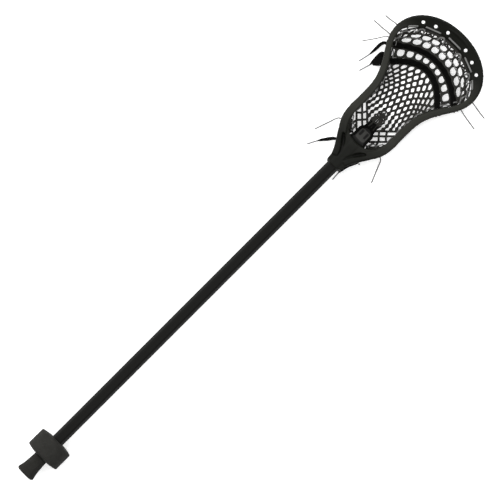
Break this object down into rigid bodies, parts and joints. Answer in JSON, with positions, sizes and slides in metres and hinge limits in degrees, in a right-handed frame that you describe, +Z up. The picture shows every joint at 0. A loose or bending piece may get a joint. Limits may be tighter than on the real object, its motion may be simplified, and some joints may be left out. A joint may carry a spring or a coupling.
{
  "type": "lacrosse stick",
  "caption": "Full-size lacrosse stick with octagonal alloy shaft, moulded head with a strung net pocket, flared rubber end cap and a thick sliding rubber ring.",
  "frame": {"origin": "centre of the stick's base as it lies face up on a level surface, halfway between butt and scoop", "axes": "+Y from the butt to the scoop, +Z up out of the head's open face, +X to the right seen from above with the scoop away"},
  "size_m": [0.2412, 1.016, 0.0628],
  "materials": {
    "shaft_alloy": "satin black anodised",
    "cap_rubber": "matt moulded",
    "ring_rubber": "matt moulded, soft",
    "head_nylon": "fine satin moulded nylon",
    "screw_steel": "blackened",
    "stop_foam": "closed-cell foam",
    "net_fibre": "waxed braided mesh",
    "nylon_string": "braided nylon string",
    "lace_fabric": "flat woven lace",
    "lace_tip": "thin plastic tip"
  },
  "bodies": {
    "stick": {"shaft": "shaft_alloy", "head_frame": "head_nylon", "head_screw": "screw_steel", "ball_stop": "stop_foam", "mesh_pocket": "net_fibre", "mesh_hem": "net_fibre", "upper_shooting_lace": "lace_fabric", "lower_shooting_lace": "lace_fabric", "nylon_shooter": "nylon_string", "top_string": "nylon_string", "sidewall_string_left": "nylon_string", "sidewall_string_right": "nylon_string", "bottom_lace": "lace_fabric", "lower_lace_loop": "lace_fabric", "throat_knot": "nylon_string", "top_string_tail_left": "nylon_string", "shooter_tail_left": "nylon_string", "top_string_tail_right": "nylon_string", "shooter_tail_right": "nylon_string", "sidewall_tail_left": "nylon_string", "sidewall_tail_right": "nylon_string", "sidewall_upper_tail_left": "nylon_string", "upper_lace_tail": "lace_fabric", "lower_lace_tail": "lace_fabric", "bottom_lace_tail_left": "lace_fabric", "bottom_lace_tail_right": "lace_fabric", "upper_lace_tip": "lace_tip", "lower_lace_tip": "lace_tip", "bottom_lace_tip_left": "lace_tip", "bottom_lace_tip_right": "lace_tip"},
    "ring": {"grip_ring": "ring_rubber"},
    "cap": {"end_cap": "cap_rubber"}
  },
  "joints": [
    {"name": "ring_slide", "type": "slide", "parent": "stick", "child": "ring", "axis": [0, 1, 0], "range_m": [0, 0.61]},
    {"name": "cap_pull", "type": "slide", "parent": "stick", "child": "cap", "axis": [0, -1, 0], "range_m": [0, 0.034]}
  ]
}
